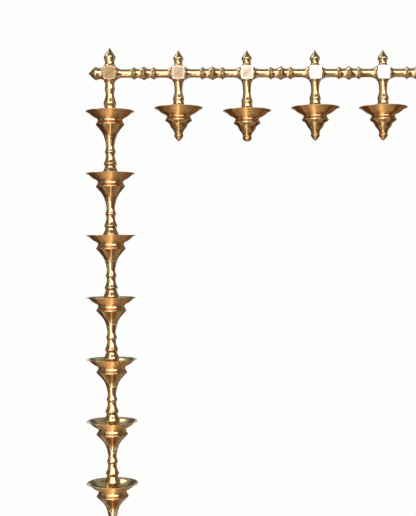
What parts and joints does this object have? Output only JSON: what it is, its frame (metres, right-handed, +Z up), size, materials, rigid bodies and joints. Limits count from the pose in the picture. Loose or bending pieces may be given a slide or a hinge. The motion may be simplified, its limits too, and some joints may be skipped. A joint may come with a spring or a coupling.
{
  "type": "hanging oil lamp frame",
  "caption": "Hanging diya frame in turned brass: rail of spindles and cross blocks with short hanging bowl lamps, and a long column of lamp bowls at one end.",
  "frame": {"origin": "middle of the corner block's flat rear face", "axes": "+Y out of the rear faces towards the wall (the front faces -Y), +Z up along the column, +X along the rail away from the corner"},
  "size_m": [0.7915, 0.1044, 1.0699],
  "materials": {
    "polished_brass": "polished, lacquered, with fine lathe lines",
    "brushed_brass": "brushed flat faces with softened edges"
  },
  "bodies": {
    "root": {"cross_block_1": "brushed_brass", "top_finial_1": "polished_brass", "cross_block_2": "brushed_brass", "top_finial_2": "polished_brass", "cross_block_3": "brushed_brass", "top_finial_3": "polished_brass", "cross_block_4": "brushed_brass", "top_finial_4": "polished_brass", "cross_block_5": "brushed_brass", "top_finial_5": "polished_brass", "cross_block_6": "brushed_brass", "top_finial_6": "polished_brass", "rail_spindle_1": "polished_brass", "rail_spindle_2": "polished_brass", "rail_spindle_3": "polished_brass", "rail_spindle_4": "polished_brass", "rail_spindle_5": "polished_brass", "left_end_finial": "polished_brass", "right_end_finial": "polished_brass", "pendant_1_hanger": "polished_brass", "pendant_1_bowl": "polished_brass", "pendant_1_drop_finial": "polished_brass", "pendant_2_hanger": "polished_brass", "pendant_2_bowl": "polished_brass", "pendant_2_drop_finial": "polished_brass", "pendant_3_hanger": "polished_brass", "pendant_3_bowl": "polished_brass", "pendant_3_drop_finial": "polished_brass", "pendant_4_hanger": "polished_brass", "pendant_4_bowl": "polished_brass", "pendant_4_drop_finial": "polished_brass", "pendant_5_hanger": "polished_brass", "pendant_5_bowl": "polished_brass", "pendant_5_drop_finial": "polished_brass", "column_hanger": "polished_brass", "column_bowl_1": "polished_brass", "column_stem_1": "polished_brass", "column_bowl_2": "polished_brass", "column_stem_2": "polished_brass", "column_bowl_3": "polished_brass", "column_stem_3": "polished_brass", "column_bowl_4": "polished_brass", "column_stem_4": "polished_brass", "column_bowl_5": "polished_brass", "column_stem_5": "polished_brass", "column_bowl_6": "polished_brass", "column_stem_6": "polished_brass", "column_bowl_7": "polished_brass", "column_stem_7": "polished_brass", "column_end_bowl": "polished_brass", "column_end_drop_finial": "polished_brass"}
  },
  "joints": []
}
